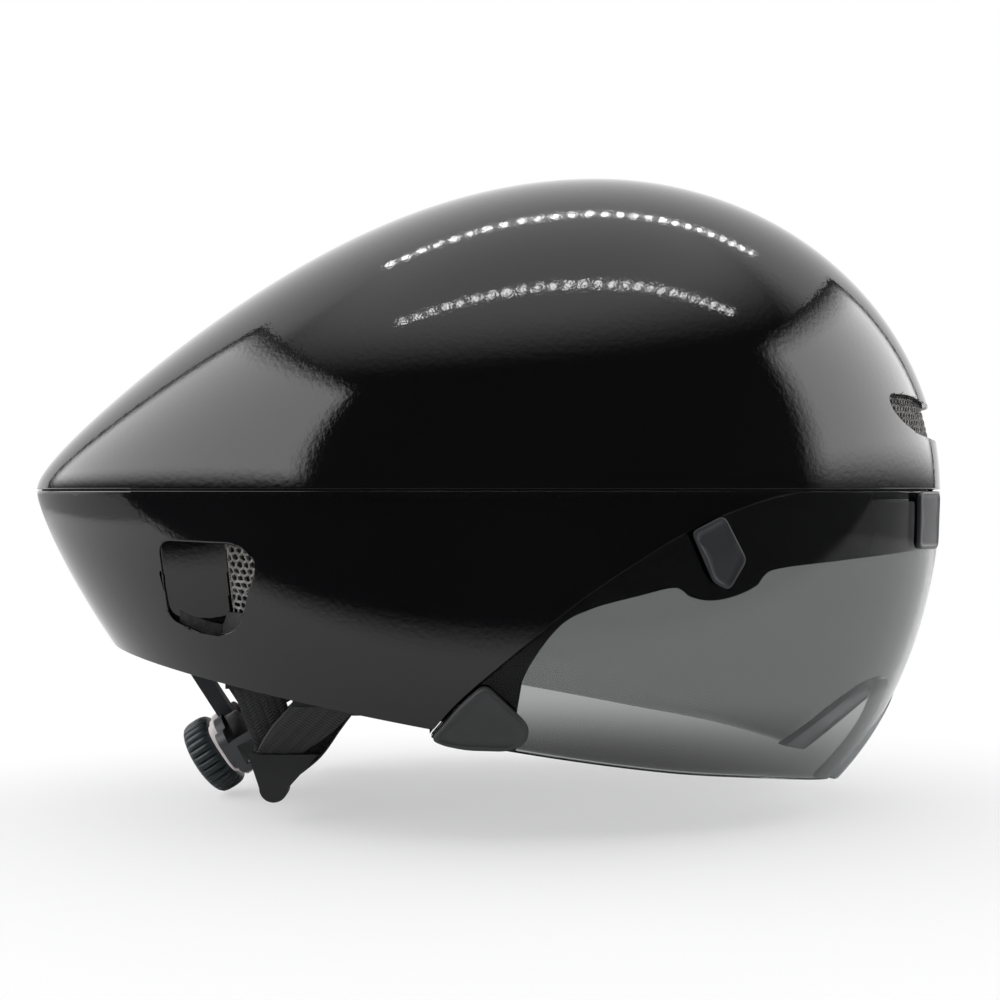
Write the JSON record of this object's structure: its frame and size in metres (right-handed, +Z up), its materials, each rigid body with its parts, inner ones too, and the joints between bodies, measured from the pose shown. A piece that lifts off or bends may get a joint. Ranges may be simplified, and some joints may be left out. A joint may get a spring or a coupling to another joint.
{
  "type": "aero time trial helmet",
  "caption": "Long-tailed time trial helmet with gloss shell, foam liners, magnetic wrap-round visor, vents, nape fit dial and webbing chin straps.",
  "frame": {"origin": "on the surface the helmet stands on, under the middle of its length and width", "axes": "+X to the wearer's front, +Y to the wearer's left, +Z up, with the seam between the shells level"},
  "size_m": [0.3084, 0.198, 0.2103],
  "materials": {
    "shell_gloss": "high gloss black",
    "foam": "moulded black foam beads",
    "vent_mesh": "grey cellular mesh",
    "scoop_plastic": "gloss black",
    "seat_plastic": "satin black",
    "magnet": "nickel plated",
    "pad_fabric": "black brushed knit over foam",
    "band_plastic": "satin black nylon",
    "steel": "bright steel",
    "webbing": "black woven webbing",
    "buckle_plastic": "satin black acetal",
    "lens_smoke": "smoke tinted clear lens",
    "frame_gloss": "opaque gloss black",
    "tab_grey": "satin dark grey",
    "grip_rubber": "soft dark grey",
    "cradle_plastic": "satin dark grey",
    "housing_light": "light grey, slightly translucent",
    "knob_rubber": "dark blue-black soft touch",
    "cap_plastic": "satin black"
  },
  "bodies": {
    "shell": {"crown_shell": "shell_gloss", "skirt_shell": "shell_gloss", "crown_liner": "foam", "lower_liner": "foam", "front_vent_mesh": "vent_mesh", "rear_vent_mesh_right": "vent_mesh", "rear_vent_mesh_left": "vent_mesh", "vent_scoop_right": "scoop_plastic", "vent_scoop_left": "scoop_plastic", "visor_seat": "seat_plastic", "seat_magnets": "magnet", "socket_magnet": "magnet", "brow_pad": "pad_fabric", "crown_pad_centre": "pad_fabric", "crown_pad_right": "pad_fabric", "crown_pad_left": "pad_fabric", "side_pad_right": "pad_fabric", "side_pad_left": "pad_fabric", "temple_anchor_right": "band_plastic", "temple_anchor_left": "band_plastic", "fit_band_right": "band_plastic", "fit_band_left": "band_plastic", "hanger_anchor": "band_plastic", "strap_anchors": "band_plastic", "pivot_pin": "steel", "front_strap_right": "webbing", "front_strap_left": "webbing", "rear_strap_right": "webbing", "rear_strap_left": "webbing", "chin_strap_right": "webbing", "chin_strap_left": "webbing", "strap_divider_right": "buckle_plastic", "strap_divider_left": "buckle_plastic", "buckle_socket": "buckle_plastic"},
    "visor": {"visor_lens": "lens_smoke", "visor_frame": "frame_gloss", "nose_trim": "grip_rubber", "visor_magnets": "magnet", "side_tab_right": "tab_grey", "side_tab_left": "tab_grey", "front_tab_right": "tab_grey", "front_tab_left": "tab_grey", "corner_grip_right": "grip_rubber", "corner_grip_left": "grip_rubber"},
    "cradle": {"hanger_arm_right": "band_plastic", "hanger_arm_left": "band_plastic", "cradle_plate": "cradle_plastic", "dial_housing": "housing_light", "pawl_spring": "steel", "dial_axle": "steel", "occipital_pad_right": "pad_fabric", "occipital_pad_left": "pad_fabric"},
    "knob": {"dial_knob": "knob_rubber", "knob_cap": "cap_plastic", "pinion": "cap_plastic"},
    "buckle": {"buckle_clip": "buckle_plastic", "clip_magnet": "magnet"}
  },
  "joints": [
    {"name": "visor_release", "type": "slide", "parent": "shell", "child": "visor", "axis": [1, 0, 0], "range_m": [0, 0.19]},
    {"name": "cradle_fit", "type": "hinge", "parent": "shell", "child": "cradle", "pos_m": [-0.10249, 0, 0.05552], "axis": [0, -1, 0], "range_deg": [0, 15], "deforming": ["fit_band_right", "fit_band_left"]},
    {"name": "knob_turn", "type": "hinge", "parent": "cradle", "child": "knob", "pos_m": [-0.0979, 0, 0.01081], "axis": [-0.8387, 0, -0.5446], "range_deg": [-5, 155]},
    {"name": "buckle_release", "type": "slide", "parent": "shell", "child": "buckle", "axis": [1, 0, 0], "range_m": [0, 0.022], "deforming": ["chin_strap_left"]}
  ],
  "couplings": [
    {"joint": "knob_turn", "follows": "cradle_fit", "ratio": 10}
  ]
}
